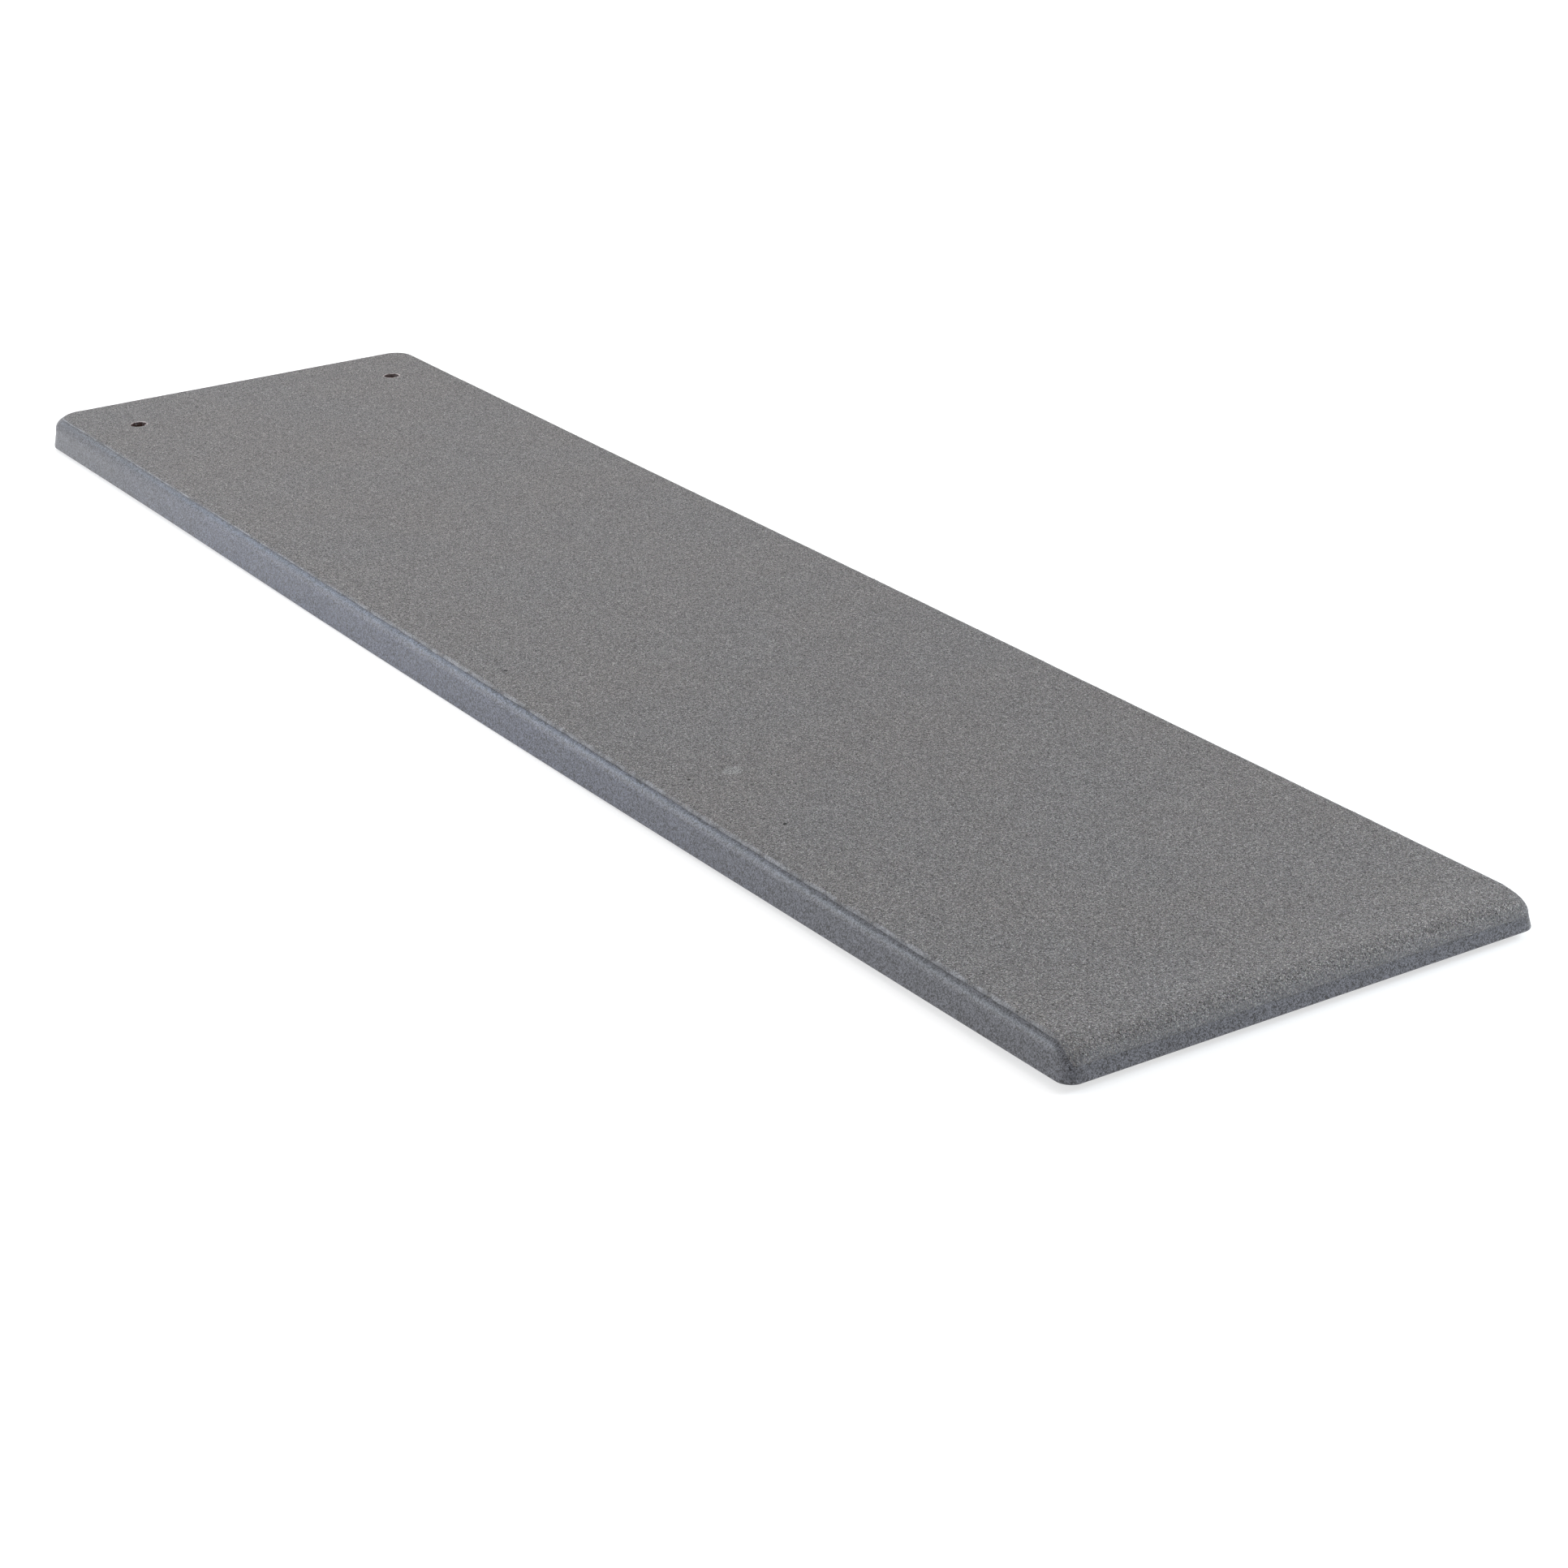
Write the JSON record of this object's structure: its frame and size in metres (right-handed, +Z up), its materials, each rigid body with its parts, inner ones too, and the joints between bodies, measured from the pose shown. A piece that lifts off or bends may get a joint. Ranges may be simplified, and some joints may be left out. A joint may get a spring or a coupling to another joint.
{
  "type": "diving board",
  "caption": "Rigid plank for a poolside stand: sand-coated top, rounded drafted acrylic sides, two bolt holes at the butt end, tapered tip.",
  "frame": {"origin": "on the flat underside at the butt end, midway between the two bolt holes", "axes": "+X along the board towards the diving tip, +Y across the board, +Z up out of the tread"},
  "size_m": [1.8282, 0.444, 0.036],
  "materials": {
    "granite_acrylic": "satin blue-grey acrylic with small dark flecks",
    "sand_tread": "rough grey sand grit bonded with resin",
    "fibreglass": "translucent amber glass mat in resin",
    "underside_coat": "grey brushed resin coat with the mat's texture showing through",
    "core_wood": "straight-grained reddish fir, glued edge to edge"
  },
  "bodies": {
    "root": {"acrylic_shell": "granite_acrylic", "sand_tread": "sand_tread", "fibreglass_backing": "fibreglass", "bottom_laminate": "fibreglass", "underside_topcoat": "underside_coat", "core_strip_01": "core_wood", "core_strip_02": "core_wood", "core_strip_03": "core_wood", "core_strip_04": "core_wood", "core_strip_05": "core_wood", "core_strip_06": "core_wood", "core_strip_07": "core_wood", "core_strip_08": "core_wood", "core_strip_09": "core_wood", "core_strip_10": "core_wood", "core_strip_11": "core_wood", "core_strip_12": "core_wood", "core_strip_13": "core_wood", "core_strip_14": "core_wood", "core_strip_15": "core_wood", "core_strip_16": "core_wood", "core_strip_17": "core_wood"}
  },
  "joints": []
}
